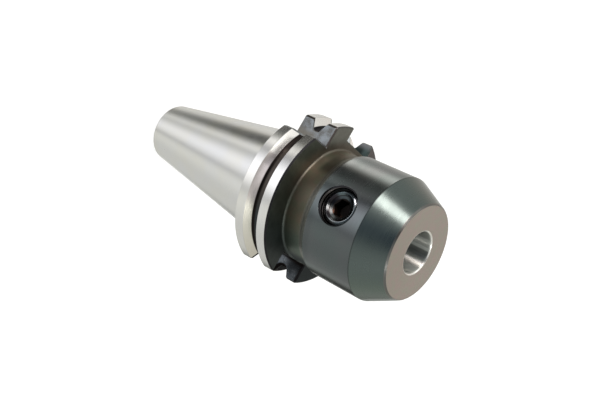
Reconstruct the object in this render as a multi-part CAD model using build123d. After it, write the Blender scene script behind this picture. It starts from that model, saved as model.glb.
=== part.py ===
from build123d import *
import math
import os

# Side lock end mill holder, size 40 taper, for a 16 mm shank. All sizes in millimetres.
# The axis is Z, with the nose up. The origin is on the axis at the gauge plane of the taper.
# The screw faces -Y, the deep drive slot +X, the shallow one -X, and the notch lies between -X and -Y.

# Steep taper
TAPER_RATE = 7 / 24
GAUGE_D = 44.45
TAPER_LENGTH = 68.4
SMALL_END_ROUND = 0.8
RELIEF_DEPTH = 0.45
RELIEF_ROUND = 0.6

# Drawbar thread in the small end, its hole drawn at the thread's outer diameter
DRAWBAR_D = 16.0
DRAWBAR_DEPTH = 34.0
PILOT_D = 17.0
PILOT_DEPTH = 9.0
PILOT_CHAMFER = 0.8

# V flange
FLANGE_D = 63.55
FLANGE_REAR_Z = 3.2
FLANGE_WIDTH = 15.9
FLANGE_CHAMFER = 0.5
GROOVE_Z = 11.1
GROOVE_ANGLE = 60.0
GROOVE_APEX_DEPTH = 6.1
GROOVE_DEPTH = 3.65
GROOVE_ROUND = 1.0

# Drive slots and orientation notch in the flange. Each rise is how far the bottom stands outside the taper and
# the neck, so that what reaches in clears both.
SLOT_WIDTH = 16.1
DEEP_SLOT_RISE = 0.3
SHALLOW_SLOT_RISE = 2.5
NOTCH_RISE = 3.1
NOTCH_ANGLE = 90.0
NOTCH_PLACE = 225.0
SLOT_CHAMFER = 0.6

# Neck and nose
NECK_D = 45.0
NECK_ROUND = 0.8
SHOULDER_Z = 29.2
SHOULDER_ROUND = 2.1
NOSE_D = 48.0
GAUGE_LENGTH = 63.0
CONE_Z = 51.3
FACE_D = 36.0
FACE_CHAMFER = 0.5

# Cutter bore and the through hole behind it
BORE_D = 16.0
BORE_DEPTH = 50.0
MOUTH_CHAMFER = 0.45
COOLANT_D = 6.0
DRILL_POINT_ANGLE = 118.0

# Side lock screw and its hole, which is drawn at the thread's outer diameter
SCREW_D = 14.0
SCREW_FIT = 0.05
SCREW_FROM_FACE = 23.5
SCREW_LENGTH = 13.4
SCREW_RECESS = 2.2
SCREW_END_CHAMFER = 0.9
SCREW_POINT_CHAMFER = 1.2
HEX_AF = 6.0
HEX_DEPTH = 6.5
HEX_MOUTH_D = 10.4
HEX_MOUTH_ANGLE = 120.0
HOLE_CHAMFER = 0.55

# How far each cutting shape runs past the surface that it cuts, and how near counts as the same place
CUT_BEYOND = 1.0
NEAR = 0.01

small_end_z = -TAPER_LENGTH
gauge_r = GAUGE_D / 2
small_end_r = gauge_r - TAPER_LENGTH * TAPER_RATE / 2
flange_r = FLANGE_D / 2
flange_front_z = FLANGE_REAR_Z + FLANGE_WIDTH
groove_bottom_r = flange_r - GROOVE_DEPTH
groove_apex_r = flange_r - GROOVE_APEX_DEPTH
neck_r = NECK_D / 2
core_r = max(gauge_r, neck_r)
nose_r = NOSE_D / 2
face_r = FACE_D / 2
bore_r = BORE_D / 2
coolant_r = COOLANT_D / 2
drawbar_r = DRAWBAR_D / 2
pilot_r = PILOT_D / 2
bore_floor_z = GAUGE_LENGTH - BORE_DEPTH
drawbar_floor_z = small_end_z + DRAWBAR_DEPTH
drill_slope = 1 / math.tan(math.radians(DRILL_POINT_ANGLE / 2))
screw_z = GAUGE_LENGTH - SCREW_FROM_FACE
screw_r = SCREW_D / 2
screw_hole_r = screw_r + SCREW_FIT
screw_top_r = nose_r - SCREW_RECESS
screw_tip_r = screw_top_r - SCREW_LENGTH


def turned(corners):
    """The solid of revolution of a half section, given as (radius, height, rounding) corners."""
    points = [(r, 0, z) for r, z, rounding in corners]
    roundings = [rounding for r, z, rounding in corners]
    return revolve(make_face(FilletPolyline(*points, radius=roundings, close=True)), Axis.Z)


def groove_half_width(r):
    """Half the width of the flange groove where its flanks are at that radius."""
    return (r - groove_apex_r) * math.tan(math.radians(GROOVE_ANGLE / 2))


def outside():
    """Taper, flange, neck and nose, with no holes or slots."""
    lip = groove_half_width(flange_r)
    bottom = groove_half_width(groove_bottom_r)
    relief_r = gauge_r - RELIEF_DEPTH
    rim_r = flange_r - FLANGE_CHAMFER
    return turned([
        (0, small_end_z, 0),
        (small_end_r, small_end_z, SMALL_END_ROUND),
        (gauge_r, 0, 0),
        (relief_r, RELIEF_DEPTH, RELIEF_ROUND),
        (relief_r, FLANGE_REAR_Z, RELIEF_ROUND),
        (rim_r, FLANGE_REAR_Z, 0),
        (flange_r, FLANGE_REAR_Z + FLANGE_CHAMFER, 0),
        (flange_r, GROOVE_Z - lip, 0),
        (groove_bottom_r, GROOVE_Z - bottom, GROOVE_ROUND),
        (groove_bottom_r, GROOVE_Z + bottom, GROOVE_ROUND),
        (flange_r, GROOVE_Z + lip, 0),
        (flange_r, flange_front_z - FLANGE_CHAMFER, 0),
        (rim_r, flange_front_z, 0),
        (neck_r, flange_front_z, NECK_ROUND),
        (neck_r, SHOULDER_Z - (nose_r - neck_r), SHOULDER_ROUND),
        (nose_r, SHOULDER_Z, SHOULDER_ROUND),
        (nose_r, CONE_Z, 0),
        (face_r + FACE_CHAMFER, GAUGE_LENGTH - FACE_CHAMFER, 0),
        (face_r, GAUGE_LENGTH, 0),
        (0, GAUGE_LENGTH, 0),
    ])


def inside():
    """The cutter bore, the through hole and the drawbar thread's hole."""
    mouth_r = bore_r + MOUTH_CHAMFER
    entry_r = pilot_r + PILOT_CHAMFER
    pilot_floor_z = small_end_z + PILOT_DEPTH
    return turned([
        (0, small_end_z - CUT_BEYOND, 0),
        (entry_r, small_end_z - CUT_BEYOND, 0),
        (entry_r, small_end_z, 0),
        (pilot_r, small_end_z + PILOT_CHAMFER, 0),
        (pilot_r, pilot_floor_z, 0),
        (drawbar_r, pilot_floor_z, 0),
        (drawbar_r, drawbar_floor_z, 0),
        (coolant_r, drawbar_floor_z + (drawbar_r - coolant_r) * drill_slope, 0),
        (coolant_r, bore_floor_z - (bore_r - coolant_r) * drill_slope, 0),
        (bore_r, bore_floor_z, 0),
        (bore_r, GAUGE_LENGTH - MOUTH_CHAMFER, 0),
        (mouth_r, GAUGE_LENGTH, 0),
        (mouth_r, GAUGE_LENGTH + CUT_BEYOND, 0),
        (0, GAUGE_LENGTH + CUT_BEYOND, 0),
    ])


def drive_slot(rise, side):
    """A slot milled straight through the flange, its floor flat and square to X."""
    floor = core_r + rise
    depth = flange_r + CUT_BEYOND - floor
    middle_z = (FLANGE_REAR_Z + flange_front_z) / 2
    length = FLANGE_WIDTH + 2 * CUT_BEYOND
    return Pos(side * (floor + depth / 2), 0, middle_z) * Box(depth, SLOT_WIDTH, length)


def orientation_notch():
    """A V cut straight through the flange, its apex line parallel to the axis."""
    apex_r = core_r + NOTCH_RISE
    reach = flange_r + CUT_BEYOND - apex_r
    half = reach * math.tan(math.radians(NOTCH_ANGLE / 2))
    section = make_face(Polyline((0, 0), (reach, half), (reach, -half), close=True))
    prism = extrude(section, FLANGE_WIDTH, dir=(0, 0, 1))
    return Rot(0, 0, NOTCH_PLACE) * Pos(apex_r, 0, FLANGE_REAR_Z) * prism


def screw_hole():
    """The hole for the screw, from the nose's side into the bore."""
    reach = nose_r + CUT_BEYOND
    return Pos(0, -reach / 2, screw_z) * Rot(90, 0, 0) * Cylinder(screw_hole_r, reach)


def radius_at(edge):
    """The distance of an edge's middle from the holder's axis."""
    middle = edge.position_at(0.5)
    return math.hypot(middle.X, middle.Y)


def side_walls(body):
    """The flat side walls of the slots and the notch. The slot floors, which face along X, aren't among them."""
    def is_side_wall(face):
        if face.geom_type != GeomType.PLANE:
            return False
        middle = face.center()
        is_floor = abs(middle.Y) < NEAR
        return FLANGE_REAR_Z < middle.Z < flange_front_z and not is_floor
    return [face for face in body.faces() if is_side_wall(face)]


def milled_edges(body):
    """The edges where the slots and the notch cut the flange's end faces, its rim chamfers and its lands."""
    found = []
    for wall in side_walls(body):
        for edge in wall.edges():
            middle_z = edge.position_at(0.5).Z
            on_end_face = min(abs(middle_z - FLANGE_REAR_Z), abs(middle_z - flange_front_z)) < NEAR
            on_rim = radius_at(edge) > flange_r - FLANGE_CHAMFER
            if on_end_face or on_rim:
                found.append(edge)
    return found


def screw_hole_edge(body):
    """The edge of the screw's hole in the side of the nose."""
    def is_rim(edge):
        middle = edge.position_at(0.5)
        on_nose = middle.Y < -bore_r and abs(radius_at(edge) - nose_r) < NEAR
        return on_nose and abs(middle.Z - screw_z) < screw_hole_r + NEAR
    return [edge for edge in body.edges() if is_rim(edge)]


def holder_body():
    """The one-piece holder: turned outside, bored, slotted, notched and drilled."""
    body = outside() - inside()
    body -= drive_slot(DEEP_SLOT_RISE, 1)
    body -= drive_slot(SHALLOW_SLOT_RISE, -1)
    body -= orientation_notch()
    body = chamfer(milled_edges(body), SLOT_CHAMFER)
    body -= screw_hole()
    return chamfer(screw_hole_edge(body), HOLE_CHAMFER)


def hex_socket(top):
    """The hexagon socket's space below a height, with its drilled point and its turned mouth. Two of the
    hexagon's corners lie in the plane of the holder's axis."""
    half_af = HEX_AF / 2
    point_height = half_af * drill_slope
    hexagon = Pos(0, 0, top - HEX_DEPTH) * RegularPolygon(half_af, 6, major_radius=False, rotation=30)
    point = Pos(0, 0, top - HEX_DEPTH - point_height / 2) * Cone(0, half_af, point_height)
    mouth_r = HEX_MOUTH_D / 2
    mouth_height = mouth_r / math.tan(math.radians(HEX_MOUTH_ANGLE / 2))
    mouth = Pos(0, 0, top - mouth_height / 2) * Cone(0, mouth_r, mouth_height)
    return extrude(hexagon, HEX_DEPTH, dir=(0, 0, 1)) + point + mouth


def side_lock_screw():
    """Set screw with a flat point and a hexagon socket, its head end towards -Y."""
    blank = Cylinder(screw_r, SCREW_LENGTH)
    ends = blank.faces().sort_by(Axis.Z)
    blank = chamfer(ends[-1].edges(), SCREW_END_CHAMFER)
    blank = chamfer(blank.faces().sort_by(Axis.Z)[0].edges(), SCREW_POINT_CHAMFER)
    screw = blank - hex_socket(SCREW_LENGTH / 2)
    return Pos(0, -(screw_tip_r + SCREW_LENGTH / 2), screw_z) * Rot(90, 0, 0) * screw


if __name__ == "__main__":
    os.makedirs("parts", exist_ok=True)
    export_step(holder_body(), "parts/holder_body.step")
    export_step(side_lock_screw(), "parts/side_lock_screw.step")
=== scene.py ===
import math

import bmesh
import bpy
import numpy as np
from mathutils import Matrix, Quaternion, Vector


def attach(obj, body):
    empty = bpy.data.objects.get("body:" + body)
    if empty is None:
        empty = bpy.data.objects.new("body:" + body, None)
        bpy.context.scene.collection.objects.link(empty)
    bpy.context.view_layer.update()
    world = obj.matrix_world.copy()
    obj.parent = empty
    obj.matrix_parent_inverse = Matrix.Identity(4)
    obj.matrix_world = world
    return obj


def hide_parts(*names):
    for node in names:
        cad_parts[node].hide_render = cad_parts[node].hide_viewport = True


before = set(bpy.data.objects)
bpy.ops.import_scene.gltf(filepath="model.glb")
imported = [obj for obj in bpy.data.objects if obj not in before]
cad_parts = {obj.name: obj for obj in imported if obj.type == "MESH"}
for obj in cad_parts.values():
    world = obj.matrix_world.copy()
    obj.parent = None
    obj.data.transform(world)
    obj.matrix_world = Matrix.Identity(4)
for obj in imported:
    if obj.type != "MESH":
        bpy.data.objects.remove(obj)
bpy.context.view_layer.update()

# Camera
# It looks down at the standing holder from the screw's side, and is rolled so that the holder lies across the
# picture with its nose to the lower right.
VIEW_AZIMUTH, VIEW_ELEVATION = -84.27, 35.47
VIEW_ROLL = math.radians(116.55)
VIEW_DISTANCE = 0.34196
VIEW_MIDDLE = Vector((0.00145, 0.00373, 0.0050))
LENS_MM = 52.46
NEAREST_SEEN = 0.01


def direction(azimuth, elevation):
    """The unit vector at an azimuth and an elevation in degrees. Azimuth 0 is +X and 90 is +Y."""
    turn, rise = math.radians(azimuth), math.radians(elevation)
    return Vector((math.cos(turn) * math.cos(rise), math.sin(turn) * math.cos(rise), math.sin(rise)))


back = direction(VIEW_AZIMUTH, VIEW_ELEVATION)
camera = bpy.data.objects.new("camera", bpy.data.cameras.new("camera"))
camera.data.lens = LENS_MM
camera.data.clip_start = NEAREST_SEEN
camera.location = VIEW_MIDDLE + VIEW_DISTANCE * back
camera.rotation_mode = "QUATERNION"
camera.rotation_quaternion = (-back).to_track_quat("-Z", "Y") @ Quaternion((0, 0, 1), VIEW_ROLL)
bpy.context.scene.collection.objects.link(camera)
bpy.context.scene.camera = camera
bpy.context.scene.view_settings.view_transform = "Standard"


# Studio
# A white room. Bare and blackened steel show little but what they mirror, so there are soft white boxes and
# dark cards round the holder, placed by direction. The floor is white, with the holder's soft shadow.
class Wire:
    """An output of a node. Arithmetic on it adds Math nodes, and node() adds a node of any other kind. CRISP is
    the usual width of a change, in mm."""
    CRISP = 0.1

    def __init__(self, tree, socket=None):
        self.tree = tree
        self.socket = socket

    def node(self, kind, settings, sockets, out=0):
        """Adds a node, with its settings set before its sockets. Returns the output with that number or name."""
        made = self.tree.nodes.new(kind)
        for name, value in settings.items():
            setattr(made, name, value)
        for key, value in sockets.items():
            if isinstance(value, Wire):
                self.tree.links.new(value.socket, made.inputs[key])
            else:
                made.inputs[key].default_value = value
        return Wire(self.tree, made.outputs[out] if made.outputs else None)

    def maths(self, operation, *values):
        return self.node("ShaderNodeMath", {"operation": operation}, dict(enumerate(values)))

    def __add__(self, other):
        return self.maths("ADD", self, other)

    def __sub__(self, other):
        return self.maths("SUBTRACT", self, other)

    def __rsub__(self, other):
        return self.maths("SUBTRACT", other, self)

    def __mul__(self, other):
        return self.maths("MULTIPLY", self, other)

    def __truediv__(self, other):
        return self.maths("DIVIDE", self, other)

    __radd__ = __add__
    __rmul__ = __mul__

    def root(self):
        return self.maths("SQRT", self)

    def size(self):
        return self.maths("ABSOLUTE", self)

    def most(self, other):
        """The larger of the two numbers."""
        return self.maths("MAXIMUM", self, other)

    def above(self, edge, soft=CRISP):
        """0 below the edge and 1 above it, with a smooth change as wide as soft."""
        ends = {0: self, 1: edge - soft / 2, 2: edge + soft / 2}
        return self.node("ShaderNodeMapRange", {"interpolation_type": "SMOOTHSTEP"}, ends)

    def below(self, edge, soft=CRISP):
        return 1 - self.above(edge, soft)

    def within(self, low, high, soft=CRISP):
        return self.above(low, soft) * self.below(high, soft)

    def bands(self, rows):
        """The sum of some bands' changes. A row says where its band begins and ends, how soft both ends are, and
        its change."""
        total = 0
        for low, high, soft, change in rows:
            total = total + self.within(low, high, soft) * change
        return total

    def number(self, low, high):
        """The number low where this mask is 0, and high where it is 1."""
        return self.node("ShaderNodeMix", {"data_type": "FLOAT"}, {0: self, 2: low, 3: high})

    def colour(self, low, high):
        """The colour low where this mask is 0, and high where it is 1."""
        return self.node("ShaderNodeMix", {"data_type": "RGBA"}, {0: self, 6: low, 7: high}, out=2)

    def tint(self, colour):
        """The colour times this number."""
        return self.node("ShaderNodeVectorMath", {"operation": "SCALE"}, {0: colour, "Scale": self})

    def parts(self):
        """The three numbers of a vector."""
        split = self.node("ShaderNodeSeparateXYZ", {}, {0: self}).socket.node
        return [Wire(self.tree, output) for output in split.outputs]

    def place(self):
        """A vector with a point's place in mm, measured on its own piece."""
        metres = self.node("ShaderNodeTexCoord", {}, {}, out="Object")
        return self.node("ShaderNodeVectorMath", {"operation": "SCALE"}, {0: metres, "Scale": 1000})

    def cloud(self, scale, detail=2.0):
        """Soft noise from 0 to 1 over this vector, with its grains about 1 / scale across."""
        return self.node("ShaderNodeTexNoise", {}, {"Vector": self, "Scale": scale, "Detail": detail})

    def bump(self):
        """The normal of a surface that rises by this many mm."""
        return self.node("ShaderNodeBump", {}, {"Height": self, "Distance": 0.001})


def empty_material(name):
    """A material without nodes, and a Wire that adds them."""
    material = bpy.data.materials.new(name)
    material.use_nodes = True
    material.node_tree.nodes.clear()
    return material, Wire(material.node_tree)


ROOM_TONE = (0.716, 0.721, 0.687)
BOXES_AND_CARDS = (
    # azimuth and elevation of the middle, half width and half height in degrees, light added or taken away
    (-91, -27, 23, 32, (1.09, 1.09, 1.19)),
    (-128, -25, 15, 23, (-1.05, -1.05, -1.00)),
    (-135, -43, 9, 8, (2.15, 2.11, 2.01)),
    (-172, -42, 20, 13, (-1.51, -1.51, -1.48)),
    (173, -30, 13, 11, (3.22, 3.00, 2.73)),
    (-59, -43, 7, 42, (-0.29, -0.29, -0.26)),
    (73, -29, 21, 14, (-1.36, -1.36, -1.33)),
    (76, -33, 7, 40, (1.05, 1.05, 1.03)),
    (105, -18, 14, 11, (0.38, 0.38, 0.38)),
    (140, -6, 29, 24, (0.17, 0.08, 0.04)),
    (30, 0, 30, 18, (0.09, 0.11, 0.03)),
    (-38, -46, 21, 17, (0.26, 0.26, 0.24)),
    (-152, -31, 10, 18, (-0.17, -0.17, -0.17)),
    (-82, 27, 28, 23, (-0.77, -0.73, -0.65)),
    (-108, 55, 20, 16, (-0.80, -0.80, -0.76)),
    (178, 38, 16, 10, (0.80, 0.78, 0.75)),
    (80, 38, 46, 29, (-0.33, -0.37, -0.38)),
    (-178, 69, 26, 12, (0.95, 0.95, 0.90)),
    (0, 88, 400, 12, (-0.22, -0.24, -0.22)),
    (-11, 52, 4, 14, (6.0, 6.0, 5.8)),
)
DARKEST = (0.03, 0.03, 0.03)
WHITE = (1, 1, 1, 1)

world = bpy.data.worlds.new("studio")
bpy.context.scene.world = world
world.use_nodes = True
world.node_tree.nodes.clear()
room = Wire(world.node_tree)
along_x, along_y, along_z = room.node("ShaderNodeTexCoord", {}, {}).parts()
elevation = room.maths("ARCSINE", along_z)
light = ROOM_TONE
for azimuth, height, half_width, half_height, change in BOXES_AND_CARDS:
    cos_az, sin_az = math.cos(math.radians(azimuth)), math.sin(math.radians(azimuth))
    towards_middle = along_x * cos_az + along_y * sin_az
    aside = along_y * cos_az - along_x * sin_az
    turn = room.maths("ARCTAN2", aside, towards_middle) / math.radians(half_width)
    rise = (elevation - math.radians(height)) / math.radians(half_height)
    share = room.maths("EXPONENT", 0 - (turn * turn + rise * rise))
    light = room.node("ShaderNodeVectorMath", {"operation": "MULTIPLY_ADD"}, {0: share, 1: change, 2: light})
light = room.node("ShaderNodeVectorMath", {"operation": "MAXIMUM"}, {0: light, 1: DARKEST})
seen = room.node("ShaderNodeLightPath", {}, {}, out="Is Camera Ray")
shine = room.node("ShaderNodeBackground", {}, {"Color": seen.colour(light, WHITE)})
room.node("ShaderNodeOutputWorld", {}, {"Surface": shine})

STRIP_AZIMUTH, STRIP_ELEVATION = -135, 22
STRIP_DISTANCE = 0.6
STRIP_WIDTH, STRIP_HEIGHT = 0.19, 0.50
STRIP_RADIANCE = 8.8
STRIP_COLOUR = (1.00, 0.90, 0.85)
STRIP_TARGET = Vector((0, 0, 0.055))

strip = bpy.data.objects.new("strip lamp", bpy.data.lights.new("strip lamp", "AREA"))
strip.data.shape = "RECTANGLE"
strip.data.size, strip.data.size_y = STRIP_WIDTH, STRIP_HEIGHT
strip.data.color = STRIP_COLOUR
strip.data.energy = STRIP_RADIANCE * math.pi * STRIP_WIDTH * STRIP_HEIGHT
towards_strip = direction(STRIP_AZIMUTH, STRIP_ELEVATION)
strip.location = STRIP_TARGET + STRIP_DISTANCE * towards_strip
strip.rotation_mode = "QUATERNION"
strip.rotation_quaternion = towards_strip.to_track_quat("Z", "Y")
strip.visible_camera = False
strip.visible_diffuse = False
bpy.context.scene.collection.objects.link(strip)

FLOOR_Z = -0.0685
FLOOR_REACH = 10.0
FLOOR_COLOUR = (0.55, 0.55, 0.55, 1)
FLOOR_GLOW = 0.74

sides = (-FLOOR_REACH, FLOOR_REACH)
floor_mesh = bpy.data.meshes.new("floor")
floor_mesh.from_pydata([(side_x, side_y, FLOOR_Z) for side_y in sides for side_x in sides], [], [(0, 1, 3, 2)])
floor = bpy.data.objects.new("floor", floor_mesh)
bpy.context.scene.collection.objects.link(floor)
floor.visible_glossy = False
floor_paint, paint = empty_material("white floor")
matt = paint.node("ShaderNodeBsdfDiffuse", {}, {"Color": FLOOR_COLOUR})
seen = paint.node("ShaderNodeLightPath", {}, {}, out="Is Camera Ray")
glow = paint.node("ShaderNodeEmission", {}, {"Strength": seen * FLOOR_GLOW})
both = paint.node("ShaderNodeAddShader", {}, {0: matt, 1: glow})
paint.node("ShaderNodeOutputMaterial", {}, {"Surface": both})
floor_mesh.materials.append(floor_paint)


# Holder
# One piece of hardened steel. The taper, flange rim, bore and nose face are ground bright. The nose, cone and
# neck keep the dark skin of heat treatment, and the slots and the notch are milled. Sizes are in mm.
SMALL_END_Z, GAUGE_R = -68.4, 22.225
FLANGE_REAR, FLANGE_FRONT = 3.2, 19.1
RIM_CHAMFER_Z, RIM_CHAMFER_R = 18.57, 31.25
GROOVE_REAR, GROOVE_FRONT, GROOVE_FLOOR_R, GROOVE_FLOOR_Z = 7.55, 14.65, 28.9, (8.0, 14.2)
SLOT_WALL, SLOT_EDGE = 8.05, 8.75
DEEP_FLOOR, SHALLOW_FLOOR = 22.6, 24.85
NOTCH_APEX, NOTCH_EDGE = 25.6, 0.9
NECK_FILLET_R, NECK_MIDDLE_Z, NECK_HALF = 23.5, 23.5, 3.5
SHOULDER_LOW, SHOULDER_HIGH = 27.1, 29.8
CONE_Z = 51.3
SCREW_Z, SCREW_HOLE_R, SCREW_HOLE_WALL_R, SCREW_HOLE_END_Y = 39.5, 7.55, 7.06, -7.9
HOLE_SHADE_X, HOLE_SHADE_Z = 0.5, -0.87
THREAD_PITCH = 2.0
NOSE_FACE_Z, NOSE_FACE_R = 62.8, 17.9
BORE_R, BORE_WALL_R, BORE_FLOOR_Z = 8.6, 8.0, 13.0
DARK_ARCH_X, DARK_ARCH_Z, DARK_ARCH_HALF_X, DARK_ARCH_HALF_Z = 30.4, 10.2, 4.45, 3.633

# ground steel
GROUND = (0.72, 0.72, 0.73, 1)
GROUND_WARM = (0.73, 0.72, 0.69, 1)
FLANK_WHITE = (0.93, 0.915, 0.90, 1)
FLANK_ROSE = (0.66, 0.61, 0.60, 1)
FLANK_CREAM = (0.83, 0.81, 0.73, 1)
FACE_ROSE = (0.635, 0.55, 0.53, 1)
FACE_GREEN = (0.58, 0.575, 0.515, 1)
FACE_EDGE = (0.16, 0.16, 0.155, 1)
BORE_GREY = (0.48, 0.50, 0.48, 1)
BORE_WARM = (0.61, 0.62, 0.59, 1)
MOUTH_HIGHLIGHT = (0.92, 0.91, 0.89, 1)
# dark skin
DARK_BLUE = (0.119, 0.141, 0.143, 1)
DARK_LILAC = (0.131, 0.140, 0.147, 1)
CONE_GREEN = (0.116, 0.143, 0.139, 1)
NECK_BROWN = (0.138, 0.112, 0.084, 1)
NECK_OLIVE = (0.110, 0.114, 0.080, 1)
NECK_GREEN = (0.080, 0.100, 0.084, 1)
SHOULDER_DARK = (0.130, 0.128, 0.112, 1)
SHOULDER_LIT = (0.30, 0.30, 0.27, 1)
DARK_GREEN = (0.130, 0.145, 0.122, 1)
DARK_TEAL = (0.030, 0.040, 0.044, 1)
FRONT_GREY = (0.24, 0.245, 0.225, 1)
FRONT_LILAC = (0.20, 0.185, 0.19, 1)
FRONT_BROWN = (0.145, 0.130, 0.108, 1)
FRONT_TEAL = (0.064, 0.078, 0.078, 1)
# groove, notch, slots and holes
GROOVE_BLUE = (0.055, 0.062, 0.066, 1)
GROOVE_BROWN = (0.085, 0.074, 0.065, 1)
GROOVE_DARK = (0.016, 0.013, 0.012, 1)
NOTCH_LIGHT = (0.26, 0.285, 0.305, 1)
NOTCH_DARK = (0.125, 0.125, 0.120, 1)
NOTCH_OLIVE = (0.160, 0.148, 0.124, 1)
LUG_PALE = (0.55, 0.57, 0.56, 1)
LUG_GREY = (0.17, 0.175, 0.18, 1)
LUG_TEAL = (0.070, 0.098, 0.095, 1)
LUG_DARK = (0.024, 0.032, 0.030, 1)
SLOT_BLUE = (0.088, 0.097, 0.106, 1)
SLOT_BRIGHT = (0.30, 0.31, 0.31, 1)
SLOT_DARK = (0.036, 0.042, 0.046, 1)
EDGE_DARK = (0.030, 0.030, 0.033, 1)
EDGE_GREY = (0.13, 0.13, 0.125, 1)
EDGE_BROWN = (0.062, 0.056, 0.054, 1)
HOLE_DARK = (0.088, 0.080, 0.078, 1)
HOLE_RIM = (0.022, 0.022, 0.024, 1)
HOLE_GREY = (0.24, 0.25, 0.26, 1)

# Where paint changes, in mm: the middle of the change and its width. The last letter says along what, and the
# notch starts at a distance from the axis.
FAR_HALF_Y, LOW_SIDE_X, LOWEST_SIDE_X = (8.0, 0.3), (12.0, 20.0), (21.3, 1.4)
LUG_X, LUG_Y, LUG_R = (-15.0, 6.0), (-17.5, 2.0), (26.0, 5.0)
LUG_TEAL_Z, LUG_GREY_X, LUG_PALE_Z = (16.4, 2.0), (-28.6, 3.0), (10.0, 1.0)
FLANK_Z, FLANK_R, FLANK_CREAM_X, FLANK_WHITE_X = (10.0, 0.2), (28.4, 0.2), (13.0, 6.0), (-6.2, 1.6)
GROOVE_INNER_R, GROOVE_BLUE_X, GROOVE_DARK_Z = (27.0, 0.4), (12.0, 10.0), (10.1, 0.7)
FAR_GROOVE_Y, FAR_GROOVE_X, TOP_GROOVE_X = (8.3, 0.2), (19.0, 16.0), (-19.5, 3.0)
BORE_WARM_X, MOUTH_Z = (1.0, 5.0), (62.05, 0.4)
NOSE_FOOT_Z, NECK_TOP_Z, NECK_GREEN_X, SHOULDER_LIT_X = (32.5, 3.0), (23.0, 2.0), (14.0, 8.0), (-2.0, 10.0)
FRONT_BROWN_R, FRONT_BROWN_X = (26.0, 4.0), (2.0, 12.0)
NOTCH_START, NOTCH_OLIVE_R, NOTCH_OLIVE_Z = (24.0, 0.5), (27.8, 2.4), (12.0, 5.0)
SLOT_FOOT_X, SLOT_BACK_Z, SLOT_FRONT_Z = (26.5, 4.0), (10.5, 3.0), (12.5, 5.0)
SLOT_FLOOR_X, SLOT_END_Z, SLOT_RIM_R = (22.55, 1.2), (18.2, 0.7), (31.35, 0.3)

# Bands of painted light and shade: a lighter or darker tone, in mm along X, or in degrees round the axis for
# the bore: from, to, softness of both ends, change. BEYOND is past the holder's side.
BEYOND = 40.0
REAR_LAND_BANDS = ((-20.0, -13.5, 4.0, 0.26),)
FLANK_BANDS = ((-5.5, -1.5, 2.0, -0.28),)
GROOVE_BANDS = ((-20.0, -10.5, 3.0, -0.7),)
NOSE_BANDS = ((22.0, BEYOND, 2.0, 0.7), (3.0, BEYOND, 10.0, -0.1))
NOSE_FOOT_BANDS = ((-BEYOND, -14.0, 3.0, 0.25), (-1.0, 23.0, 8.0, -0.12))
NECK_BANDS = ((-13.0, -2.0, 4.0, -0.2),)
NECK_TOP_BANDS = ((-17.0, -9.0, 3.0, -0.38),)
NECK_SLOPE_BANDS = ((9.0, BEYOND, 10.0, 0.3), (-BEYOND, -9.0, 12.0, -0.55))
SHOULDER_BANDS = ((-BEYOND, -16.0, 3.0, 0.7), (-14.0, -9.0, 3.0, -0.35), (8.0, BEYOND, 6.0, -0.22))
BORE_BANDS = (
    (-200.0, 30.0, 8.0, -0.15),
    (34.0, 58.0, 10.0, 0.24),
    (62.0, 69.0, 4.0, -0.35),
    (74.5, 81.5, 5.0, 0.9),
    (81.5, 92.0, 4.0, 0.3),
    (98.0, 110.0, 5.0, -0.35),
    (111.0, 119.0, 4.0, 0.6),
    (129.0, 143.0, 6.0, 0.4),
)

DARKEST_NECK = 0.3
GROUND_ROUGH, NOSE_ROUGH, CONE_ROUGH = 0.24, 0.25, 0.285
GROOVE_ROUGH, NECK_ROUGH, MILLED_ROUGH, LAPPED_ROUGH = 0.46, 0.48, 0.42, 0.40
RIM_ROUGH, DEEP_ROUGH, HOLE_ROUGH, DARK_ARCH_ROUGH = 0.6, 0.9, 0.5, 0.8
GROUND_LINES, SKIN_LINES, BORE_LINES, MILLED_GRAIN, HOLE_THREAD = 0.0040, 0.0009, 0.02, 0.03, 1.4
ROUND_THE_AXIS = 0.25

finish, steel = empty_material("hardened steel")
mm = steel.place()
x, y, z = mm.parts()
r = (x * x + y * y).root()


def rings(pitch, drift):
    """Lines round the axis as a lathe or a grinding wheel leaves them: noise that changes once a pitch along the
    outline (radius plus height) and slowly round the axis."""
    return steel.node("ShaderNodeCombineXYZ", {}, {0: x * drift, 1: y * drift, 2: (r + z) / pitch}).cloud(1.0)


# masks of the turned and ground surfaces
front = z.above(FLANGE_FRONT - 0.4, 0.25)
face = z.above(NOSE_FACE_Z) * r.below(NOSE_FACE_R, 0.2)
face_edge = z.above(NOSE_FACE_Z - 0.4) * r.above(NOSE_FACE_R + 0.05)
bore = r.below(BORE_R, 0.2) * z.above(0.0, 1.0)
bore_wall = r.below(BORE_WALL_R + 0.1) * z.above(BORE_FLOOR_Z, 0.5) * z.below(NOSE_FACE_Z)
mouth = r.within(BORE_WALL_R + 0.05, BORE_R, 0.05) * z.above(NOSE_FACE_Z - 0.4)
deep_hole = r.below(BORE_R, 0.2) * z.below(BORE_FLOOR_Z, 1.0) * z.above(SMALL_END_Z + 0.6, 0.4)
relief = z.within(0.1, FLANGE_REAR - 0.05, 0.15) * r.below(GAUGE_R + 0.3, 0.2)
rear_land = z.within(FLANGE_REAR, GROOVE_REAR, 0.2) * r.above(RIM_CHAMFER_R + 0.05, 0.2)
rim_chamfer = r.above(RIM_CHAMFER_R, 0.05) * z.above(RIM_CHAMFER_Z, 0.04)
blackened = front * (1 - face) * (1 - bore)
neck = z.within(FLANGE_FRONT, SHOULDER_HIGH, 1.6) * (1 - bore)
fillet = z.below(FLANGE_FRONT + 0.8, 0.3) * r.below(NECK_FILLET_R, 0.4)
shoulder = z.within(SHOULDER_LOW, SHOULDER_HIGH, 1.6)
cone = z.above(CONE_Z, 0.2)
far_half = y.above(*FAR_HALF_Y)
low_side = x.above(*LOW_SIDE_X)
lowest_side = x.above(*LOWEST_SIDE_X)
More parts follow.
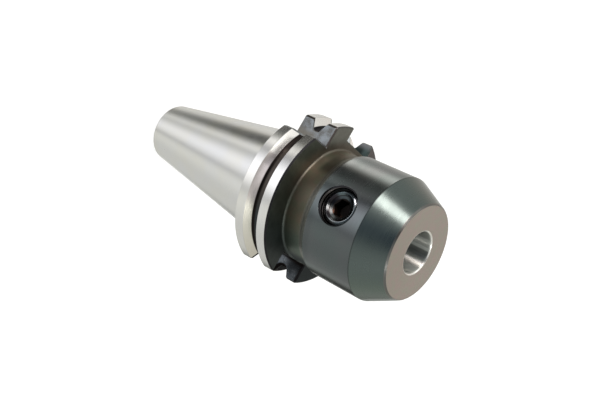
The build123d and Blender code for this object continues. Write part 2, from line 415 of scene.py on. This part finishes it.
lug = x.below(*LUG_X) * y.above(*LUG_Y) * r.above(*LUG_R)

# masks of the slots, the notch, the groove and the screw hole
along_flange = z.within(FLANGE_REAR - 0.05, FLANGE_FRONT + 0.05, 0.06)
deep_slot = x.above(DEEP_FLOOR)
shallow_slot = x.below(-SHALLOW_FLOOR)
slot = y.size().below(SLOT_EDGE) * (deep_slot + shallow_slot) * along_flange
slot_bevel = slot * y.size().above(SLOT_WALL + 0.12) * (1 - shallow_slot)
# An oval on the deep slot's far wall, round the groove's arch, that is painted dark.
across_arch, along_arch = (x - DARK_ARCH_X) / DARK_ARCH_HALF_X, (z - DARK_ARCH_Z) / DARK_ARCH_HALF_Z
dark_arch = deep_slot * (across_arch * across_arch + along_arch * along_arch).below(0.98, 0.2)
out_along_notch = (x + y) * -math.sqrt(0.5)
across_notch = ((x - y) * math.sqrt(0.5)).size()
notch = (out_along_notch - NOTCH_APEX + NOTCH_EDGE - across_notch).above(0.0) * along_flange
notch = notch * out_along_notch.above(*NOTCH_START)
notch_bevel = notch * (out_along_notch - NOTCH_APEX - across_notch).below(-0.12) * (y - x).above(0.3, 0.3)
notch_bevel = notch_bevel * (1 - r.below(30.6, 0.5) * z.within(GROOVE_REAR, 10.5, 0.2) * 0.75)
milled = slot.most(notch)
along_groove = z.within(GROOVE_REAR + 0.1, GROOVE_FRONT - 0.1) * r.within(27.5, RIM_CHAMFER_R + 0.4)
flank = along_groove * z.below(*FLANK_Z) * r.above(*FLANK_R)
groove = r.below(GROOVE_FLOOR_R, 0.3) * r.above(*GROOVE_INNER_R) * z.within(*GROOVE_FLOOR_Z, 0.3)
# The groove's far side by the deep slot, and its floor towards -X, are marked here to be painted near black, a
# painted shade.
far_side = (y.above(*FAR_GROOVE_Y) * x.above(*FAR_GROOVE_X)).most(groove * x.below(*TOP_GROOVE_X))
far_groove_shade = along_groove * far_side * (1 - milled)
past_screw = z - SCREW_Z
from_screw = (x * x + past_screw * past_screw).root()
screw_hole = from_screw.below(SCREW_HOLE_R) * y.below(SCREW_HOLE_END_Y, 0.3)
hole_rim = screw_hole * from_screw.above(SCREW_HOLE_WALL_R, 0.08)
hole_shaded_side = ((x * HOLE_SHADE_X + past_screw * HOLE_SHADE_Z) / from_screw).above(0.9, 0.2)

# grain and stains
mottle = mm.cloud(0.09, 3.0)
patches = mm.cloud(0.35, 3.0)
speckle = mm.cloud(2.6, 2.0)
milling_marks = (patches * 0.6 + speckle * 0.4).above(0.5, 0.3)
fine_rings = rings(0.35, 0.05)
bore_rings = rings(0.22, 0.12)
broad_rings = rings(1.9, 0.03)

# ground surfaces, from the taper to the bore, with painted highlights and reflections
bright = mottle.above(0.5, 0.5).colour(GROUND, GROUND_WARM)
# The rear land is painted lighter in one band along X, a painted highlight.
bright = (1 + rear_land * x.bands(REAR_LAND_BANDS)).tint(bright)
# The groove's rear flank is painted rose, cream and white along X, with a darker band, as painted reflection.
flank_paint = x.above(*FLANK_CREAM_X).colour(FLANK_ROSE, FLANK_CREAM)
flank_paint = x.below(*FLANK_WHITE_X).colour((1 + x.bands(FLANK_BANDS)).tint(flank_paint), FLANK_WHITE)
bright = flank.colour(bright, flank_paint)
bright = face.colour(bright, patches.above(0.5, 0.5).colour(FACE_ROSE, FACE_GREEN))
# Speckled stain warms the bore, and it is painted warmer towards +X, a painted reflection.
bore_stain_and_sheen = (x.above(*BORE_WARM_X) * 0.7 + speckle * 0.6).above(0.65, 0.5)
round_the_bore = steel.maths("ARCTAN2", y, x) * math.degrees(1)
# Round the axis the bore has bands of painted reflection, and it is painted lighter near the mouth.
bore_painted_light = (1 + round_the_bore.bands(BORE_BANDS)) * (1 + z.above(*MOUTH_Z) * 0.25)
bright = bore.colour(bright, bore_painted_light.tint(bore_stain_and_sheen.colour(BORE_GREY, BORE_WARM)))
# The mouth's chamfer is a painted highlight.
bright = mouth.colour(bright, MOUTH_HIGHLIGHT)

# dark skin of the nose, cone, neck, shoulder and flange front, with painted light and shade
dark = mottle.above(0.5, 0.4).colour(DARK_BLUE, DARK_LILAC)
dark = cone.colour(dark, CONE_GREEN)
# A thin band where the nose meets the cone is painted darker, a painted shade line.
cone_edge_shade = z.within(CONE_Z - 0.2, CONE_Z + 0.2, 0.2).number(1.0, 0.6)
# The nose is painted lighter and darker in bands along X, and near its foot, as painted highlight and shade.
nose_light_and_shade = z.below(CONE_Z, 0.3) * x.bands(NOSE_BANDS) + z.below(*NOSE_FOOT_Z) * x.bands(NOSE_FOOT_BANDS)
dark = (cone_edge_shade + nose_light_and_shade).tint(dark)
neck_paint = patches.above(0.5, 0.5).colour(NECK_BROWN, NECK_OLIVE)
neck_paint = x.above(*NECK_GREEN_X).colour(neck_paint, NECK_GREEN)
# The neck is painted lighter and darker along Z and in bands along X, as painted light and shade, its tone never
# below DARKEST_NECK.
neck_light_and_shade = 1 + (z - NECK_MIDDLE_Z) / NECK_HALF * x.bands(NECK_SLOPE_BANDS)
neck_light_and_shade = neck_light_and_shade * (1 + z.above(*NECK_TOP_Z) * x.bands(NECK_TOP_BANDS) + x.bands(NECK_BANDS))
neck_paint = neck_light_and_shade.most(DARKEST_NECK).tint(neck_paint)
# The shoulder is painted lighter towards +X, and lighter and darker in bands along X, as painted light and
# shade.
shoulder_paint = x.above(*SHOULDER_LIT_X).colour(SHOULDER_DARK, SHOULDER_LIT)
neck_paint = shoulder.colour(neck_paint, (1 + x.bands(SHOULDER_BANDS)).tint(shoulder_paint))
# Next to the deep slot the neck is painted near black, a painted shade.
dark = neck.colour(dark, lowest_side.colour(neck_paint, DARK_TEAL))
# The flange's front face is painted darker towards +X, darkest on the +Y side there, and lighter on the lugs
# towards -X, as painted shade and light.
front_paint = low_side.colour(DARK_GREEN, far_half.colour(FRONT_TEAL, DARK_TEAL))
front_paint = (r.below(*FRONT_BROWN_R) * x.below(*FRONT_BROWN_X)).colour(front_paint, FRONT_BROWN)
front_paint = lug.colour(front_paint, far_half.colour(FRONT_GREY, FRONT_LILAC))
front_paint = (patches * 0.5 + speckle * 0.35 + 0.575).tint(front_paint)
dark = (z.below(FLANGE_FRONT + 0.15, 0.3) * (1 - bore)).colour(dark, front_paint)
dark = (fillet * 0.5).colour(dark, front_paint)

# milled notch and slots, and the groove, with painted shade and reflections
notch_paint = milling_marks.colour(NOTCH_DARK, NOTCH_LIGHT)
# Deep in the notch, by the groove, it is painted darker and olive, a painted shade, and its bevels are painted
# dark brown, a painted dark reflection.
notch_paint = (r.below(*NOTCH_OLIVE_R) * z.below(*NOTCH_OLIVE_Z) * 0.85).colour(notch_paint, NOTCH_OLIVE)
notch_paint = notch_bevel.colour(notch_paint, EDGE_BROWN)
slot_paint = milling_marks.colour(SLOT_DARK, SLOT_BLUE)
slot_paint = speckle.above(0.66, 0.08).colour(slot_paint, SLOT_BRIGHT)
# Near its floor the deep slot's walls are painted lighter towards the rear and darker towards the front, as
# painted light and shade.
slot_tone = 1 + x.below(*SLOT_FOOT_X) * (z.below(*SLOT_BACK_Z) * 0.7 - z.above(*SLOT_FRONT_Z) * 0.65)
slot_paint = slot_tone.tint(slot_paint)
# The deep slot's floor corner, front end and rim edge are painted near black, a painted shade.
dark_ends = (x - z * 0.09).below(*SLOT_FLOOR_X).most(z.above(*SLOT_END_Z)).most(r.above(*SLOT_RIM_R))
slot_paint = dark_ends.most(dark_arch).colour(slot_paint, GROOVE_DARK)
# In the shallow slot the walls are painted pale towards the rear, grey at the outer end, near black in the
# middle and dark teal at the front, as painted reflection and shade.
lug_paint = z.above(*LUG_TEAL_Z).colour(LUG_DARK, LUG_TEAL)
lug_paint = x.below(*LUG_GREY_X).colour(lug_paint, LUG_GREY)
lug_paint = z.below(*LUG_PALE_Z).colour(lug_paint, LUG_PALE)
slot_paint = shallow_slot.colour(slot_paint, lug_paint)
# The groove floor is painted darker in a band along X and near black next to its rear flank, as painted shade.
groove_paint = x.above(*GROOVE_BLUE_X).colour(GROOVE_BROWN, GROOVE_BLUE)
groove_paint = (1 + x.bands(GROOVE_BANDS)).tint(groove_paint)
groove_paint = z.above(*GROOVE_DARK_Z).colour(GROOVE_DARK, groove_paint)
# One side of the screw hole's wall is painted darker, and its chamfer near black, as painted shade.
hole_paint = (hole_shaded_side * 0.55).colour(HOLE_DARK, HOLE_RIM)

colour = blackened.colour(bright, dark)
for mask, layer in (
    (groove, groove_paint),
    (relief, HOLE_GREY),
    (milled, slot.colour(notch_paint, slot_paint)),
    # The deep slot's bevels are painted near black, a painted dark reflection, and so is the groove's far side,
    # a painted shade.
    (slot_bevel.most(far_groove_shade), EDGE_DARK),
    (rim_chamfer, lug.colour(EDGE_DARK, EDGE_GREY)),
    (face_edge, FACE_EDGE),
    (deep_hole, HOLE_GREY),
    (screw_hole, hole_rim.colour(hole_paint, HOLE_RIM)),
):
    colour = mask.colour(colour, layer)

rough = blackened.number(GROUND_ROUGH, cone.number(NOSE_ROUGH, CONE_ROUGH))
rough = groove.number(rough, GROOVE_ROUGH)
rough = (z.within(FLANGE_FRONT, SHOULDER_HIGH, 1.0) * (1 - bore)).number(rough, NECK_ROUGH)
rough = rough.most(rim_chamfer * RIM_ROUGH).most(far_groove_shade * DEEP_ROUGH)
rough = milled.number(rough, MILLED_ROUGH)
rough = rough.most(deep_hole * HOLE_ROUGH).most(dark_arch * slot * DARK_ARCH_ROUGH)
rough = rough + (fine_rings - 0.5) * 0.10 + (patches - 0.5) * 0.08

# the height of the rings, the milling marks and the screw hole's thread, in mm
round_the_screw = steel.maths("ARCTAN2", past_screw, x) / (2 * math.pi)
thread = steel.maths("PINGPONG", 0 - y / THREAD_PITCH - round_the_screw, 0.5)
height = (fine_rings + broad_rings * 0.8) * blackened.number(GROUND_LINES, SKIN_LINES) * (1 - milled)
height = height + speckle * milled * MILLED_GRAIN
height = height + thread * screw_hole * HOLE_THREAD + bore_rings * bore * BORE_LINES
bump = height.bump()


def ground_steel(roughness, stretch):
    """The steel's shader, with its reflections stretched by lines that run round the axis."""
    return steel.node("ShaderNodeBsdfPrincipled", {}, {
        "Base Color": colour,
        "Metallic": 1.0,
        "Roughness": roughness,
        "Anisotropic": stretch,
        "Anisotropic Rotation": ROUND_THE_AXIS,
        "Normal": bump,
    })


surfaces = {0: bore_wall, 1: ground_steel(rough, 0.5), 2: ground_steel(LAPPED_ROUGH, 1.0)}
surface = steel.node("ShaderNodeMixShader", {}, surfaces)
steel.node("ShaderNodeOutputMaterial", {}, {"Surface": surface})
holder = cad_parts["holder_body"]
holder.material_slots[0].material = finish


# Drawbar thread
# The M16 thread cut in the wall of the hole in the taper's small end, where the drawbar or a retention knob
# screws in. Sizes are in mm.
DRAWBAR_WALL_R, DRAWBAR_CREST_R = 8.02, 6.92
DRAWBAR_LOW_Z, DRAWBAR_HIGH_Z = -59.4, -34.6
DRAWBAR_PITCH = 2.0
RIDGE_FOOT, RIDGE_CREST = 0.86, 0.25
STEPS_A_TURN = 64
SAME_POINT_M = 1e-7
SHARP_FROM = math.radians(38)


def solid_from_grid(name, points):
    """A mesh object from a grid of points in mm, rows by columns. The grid is closed from its last column to its
    first. Rows at a pole shrink to one point there, and the faces are turned outwards."""
    rows, columns = points.shape[:2]
    row = np.arange(rows - 1)[:, None]
    column = np.arange(columns)[None, :]
    next_column = (column + 1) % columns
    corners = [row * columns + column, row * columns + next_column,
               (row + 1) * columns + next_column, (row + 1) * columns + column]
    faces = np.stack(np.broadcast_arrays(*corners), -1).reshape(-1, 4)
    mesh = bpy.data.meshes.new(name)
    mesh.from_pydata((points.reshape(-1, 3) / 1000).tolist(), [], faces.tolist())
    shell = bmesh.new()
    shell.from_mesh(mesh)
    bmesh.ops.remove_doubles(shell, verts=shell.verts, dist=SAME_POINT_M)
    bmesh.ops.dissolve_degenerate(shell, dist=SAME_POINT_M, edges=shell.edges)
    bmesh.ops.recalc_face_normals(shell, faces=shell.faces)
    shell.to_mesh(mesh)
    shell.free()
    mesh.shade_smooth()
    mesh.set_sharp_from_angle(angle=SHARP_FROM)
    made = bpy.data.objects.new(name, mesh)
    bpy.context.scene.collection.objects.link(made)
    return made


def drawbar_ridge():
    """The ridge's section is a trapezium with its wide foot in the wall. Its middle climbs one pitch a turn, and
    its height grows from nothing and falls to nothing in the first and last quarter turn."""
    turns = (DRAWBAR_HIGH_Z - DRAWBAR_LOW_Z) / DRAWBAR_PITCH
    turn = np.linspace(0, turns, int(turns * STEPS_A_TURN) + 1)
    height = np.clip(np.minimum(turn, turns - turn) * 4, 0, 1)
    side = np.array([-RIDGE_FOOT, -RIDGE_CREST, RIDGE_CREST, RIDGE_FOOT])
    rise = np.array([0, 1, 1, 0])
    radius = DRAWBAR_WALL_R - (DRAWBAR_WALL_R - DRAWBAR_CREST_R) * rise[None, :] * height[:, None]
    middle = DRAWBAR_LOW_Z + DRAWBAR_PITCH * turn
    level = middle[:, None] + side[None, :] * height[:, None]
    angle = 2 * np.pi * turn[:, None]
    return np.stack([radius * np.cos(angle), radius * np.sin(angle), level], -1)


ridge = solid_from_grid("drawbar_thread", drawbar_ridge())
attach(ridge, "holder")

CUT_STEEL = (0.34, 0.34, 0.35, 1)
CUT_STEEL_DARK = (0.20, 0.20, 0.21, 1)
SMOOTH_CUT, ROUGH_CUT, CUT_GRAIN = 0.30, 0.45, 0.01

cut_finish, cut_steel = empty_material("cut thread")
mm = cut_steel.place()
stain = mm.cloud(0.5, 3.0)
grain = mm.cloud(4.0, 2.0)
shader = cut_steel.node("ShaderNodeBsdfPrincipled", {}, {
    "Base Color": stain.above(0.5, 0.6).colour(CUT_STEEL_DARK, CUT_STEEL),
    "Metallic": 1.0,
    "Roughness": stain.number(SMOOTH_CUT, ROUGH_CUT),
    "Normal": (grain * CUT_GRAIN).bump(),
})
cut_steel.node("ShaderNodeOutputMaterial", {}, {"Surface": shader})
ridge.data.materials.append(cut_finish)


# Side lock screw
# An M14 set screw of blackened alloy steel with a flat point. It is rolled and hardened, has a hexagon socket
# for a 6 mm key, and sits a little below the nose's side. Sizes are in mm.
SCREW_TOP_Y = -21.8
SCREW_LENGTH = 13.4
CREST_R, CREST_HALF = 6.94, 0.13
THREAD_DEPTH, FLANK_SLOPE = 1.17, 1.732
POINT_R = 5.8
SOCKET_HALF_FLAT, SOCKET_DEPTH, SOCKET_MOUTH_R = 3.0, 6.5, 4.65
RING_IN_R, RING_MIDDLE_R, RING_OUT_R, RING_EDGE_R = 5.38, 5.46, 5.55, 6.4
RING_OUT_SLOPE = math.tan(math.radians(31))
RING_IN_SLOPE = math.tan(math.radians(44))
MOUTH_SLOPE = math.tan(math.radians(30))
SOCKET_FLOOR_SLOPE = math.tan(math.radians(31))
EDGE_ROUND = 0.12
SCREW_COLUMNS, ROWS_A_PITCH, ROWS_A_FACET = 96, 16, 5


def screw_surface():
    """Rows run from the middle of the flat point, up the thread, over the top ring and down into the socket.
    The thread's radius falls along its flanks with the distance from the crest's line, which climbs one pitch
    a turn, and the cones at both ends cut it off. The top ring is crowned: from its middle it falls outwards at
    31 degrees to the 45 degree end cone, and inwards at 44 degrees to the 30 degree mouth. The hexagon's radius
    is half its width across flats over the cosine of the angle from the nearest flat's middle."""
    angle = np.arange(SCREW_COLUMNS) * 2 * np.pi / SCREW_COLUMNS
    ones = np.ones(SCREW_COLUMNS)
    count = int(SCREW_LENGTH / THREAD_PITCH * ROWS_A_PITCH)
    outer_fall = (RING_EDGE_R - RING_OUT_R) * RING_OUT_SLOPE
    inner_fall = (RING_IN_R - SOCKET_MOUTH_R) * RING_IN_SLOPE
    depth = np.linspace(SCREW_LENGTH - EDGE_ROUND, outer_fall + 0.02, count)[:, None] * ones
    phase = (depth + angle * THREAD_PITCH / (2 * np.pi)) / THREAD_PITCH
    from_crest = np.abs(phase - np.round(phase)) * THREAD_PITCH
    fall = np.clip((from_crest - CREST_HALF) * FLANK_SLOPE, 0, THREAD_DEPTH)
    end_cones = np.minimum(RING_EDGE_R + depth - outer_fall, POINT_R + SCREW_LENGTH - depth)
    thread = np.minimum(CREST_R - fall, end_cones)
    sixth = np.pi / 3
    from_flat = (angle + sixth / 2) % sixth - sixth / 2
    hexagon = SOCKET_HALF_FLAT / np.cos(from_flat)
    rows = [(0 * ones, SCREW_LENGTH * ones),
            ((POINT_R - EDGE_ROUND) * ones, SCREW_LENGTH * ones)]
    rows += list(zip(thread, depth))
    for share in np.linspace(1, 0, ROWS_A_FACET):
        rows.append(((RING_OUT_R + (RING_EDGE_R - RING_OUT_R) * share) * ones, outer_fall * share * ones))
    for share in np.linspace(0, 1, ROWS_A_FACET):
        rows.append(((RING_IN_R + (SOCKET_MOUTH_R - RING_IN_R) * share) * ones, inner_fall * share * ones))
    rows += [(hexagon, inner_fall + (SOCKET_MOUTH_R - hexagon) * MOUTH_SLOPE),
             (hexagon, SOCKET_DEPTH * ones),
             (SOCKET_HALF_FLAT * 0.97 * ones, SOCKET_DEPTH * ones),
             (0 * ones, (SOCKET_DEPTH + SOCKET_HALF_FLAT * SOCKET_FLOOR_SLOPE) * ones)]
    radius, depth = (np.array(part) for part in zip(*rows))
    return np.stack([radius * np.cos(angle), SCREW_TOP_Y + depth, SCREW_Z + radius * np.sin(angle)], -1)


screw = solid_from_grid("lock_screw", screw_surface())
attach(screw, "lock_screw")
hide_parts("side_lock_screw")

OXIDE_BLUE = (0.150, 0.162, 0.168, 1)
OXIDE_TEAL = (0.075, 0.092, 0.104, 1)
OXIDE_BROWN = (0.115, 0.104, 0.100, 1)
OXIDE_PURPLE = (0.040, 0.036, 0.042, 1)
OXIDE_PATCH = (0.145, 0.190, 0.205, 1)
OXIDE_HIGHLIGHT = (0.36, 0.39, 0.40, 1)
OXIDE_BRIGHT = (0.52, 0.55, 0.60, 1)
SOCKET_BLACK = (0.020, 0.017, 0.016, 1)
SOCKET_REDDISH_REFLECTION = (0.075, 0.040, 0.028, 1)
OXIDE_ROUGH, SOCKET_ROUGH = 0.24, 0.5

oxide_finish, oxide = empty_material("blackened screw")
mm = oxide.place()
x, y, z = mm.parts()
past_middle = z - SCREW_Z
depth = y - SCREW_TOP_Y
from_middle = (x * x + past_middle * past_middle).root()
in_socket = from_middle.below(3.6, 0.25) * depth.above(0.25, 0.3) * depth.below(9.0, 0.2)
outer_facet = from_middle.above(RING_MIDDLE_R) * depth.below(0.9)
inner_facet = from_middle.within(SOCKET_MOUTH_R, RING_MIDDLE_R) * depth.below(0.9)
mouth_cone = from_middle.below(SOCKET_MOUTH_R) * depth.below(1.5)
mouth_line = from_middle.within(4.48, 4.68, 0.12) * depth.below(1.0)
stain = mm.cloud(0.6, 3.0)
grain = mm.cloud(5.0, 2.0)
turning = oxide.node("ShaderNodeCombineXYZ", {}, {0: from_middle * 4.0, 1: y * 4.0, 2: 0.0}).cloud(1.0)


def towards(degrees):
    """The cosine of the angle round the screw's middle from this direction."""
    turn = math.radians(degrees)
    return (x * math.cos(turn) + past_middle * math.sin(turn)) / from_middle


colour = stain.above(0.66, 0.3).colour(OXIDE_BLUE, OXIDE_BROWN)
# The screw's top is painted darker and bluer towards -X, a painted shade.
colour = x.below(-1.0, 5.0).colour(colour, OXIDE_TEAL)
# Sectors round the screw's middle are painted lighter and darker, as painted highlights, reflections and shade.
for degrees, edge, soft, where, patch in (
    # direction, cosine at the patch's edge, softness, where on the screw's top, colour
    (214, 0.93, 0.10, inner_facet * 0.6 + outer_facet, OXIDE_PATCH),
    (248, 0.90, 0.16, 1 - outer_facet * 0.7, OXIDE_PURPLE),
    (60, 0.61, 0.20, outer_facet, OXIDE_TEAL),
    (60, 0.20, 0.20, inner_facet, OXIDE_HIGHLIGHT),
    (322, 0.95, 0.08, inner_facet, OXIDE_PURPLE),
    (133, 0.978, 0.03, outer_facet, OXIDE_BRIGHT),
):
    colour = (towards(degrees).above(edge, soft) * where).colour(colour, patch)
# Two more sectors, on the inner facet and on the mouth cone, are painted darker, a painted shade.
dimmed = towards(308).above(0.955, 0.06) * inner_facet * 0.35 + towards(300).above(0.85, 0.2) * mouth_cone * 0.55
colour = (1 - dimmed).tint(colour)
# The socket is painted near black, a painted shade, with a reddish painted reflection on its walls towards +X
# and -Z, broken up by noise.
socket_reflection = (stain + (x - 1.5) * 0.10 - past_middle * 0.12).above(0.85, 0.3)
colour = in_socket.colour(colour, socket_reflection.colour(SOCKET_BLACK, SOCKET_REDDISH_REFLECTION))
colour = mouth_line.colour(colour, SOCKET_BLACK)
height = grain * 0.006 + turning * depth.below(0.6, 0.3) * 0.02
shader = oxide.node("ShaderNodeBsdfPrincipled", {}, {
    "Base Color": colour,
    "Metallic": 1.0,
    "Roughness": in_socket.number(OXIDE_ROUGH + (stain - 0.5) * 0.08, SOCKET_ROUGH),
    "Normal": height.bump(),
})
oxide.node("ShaderNodeOutputMaterial", {}, {"Surface": shader})
screw.data.materials.append(oxide_finish)
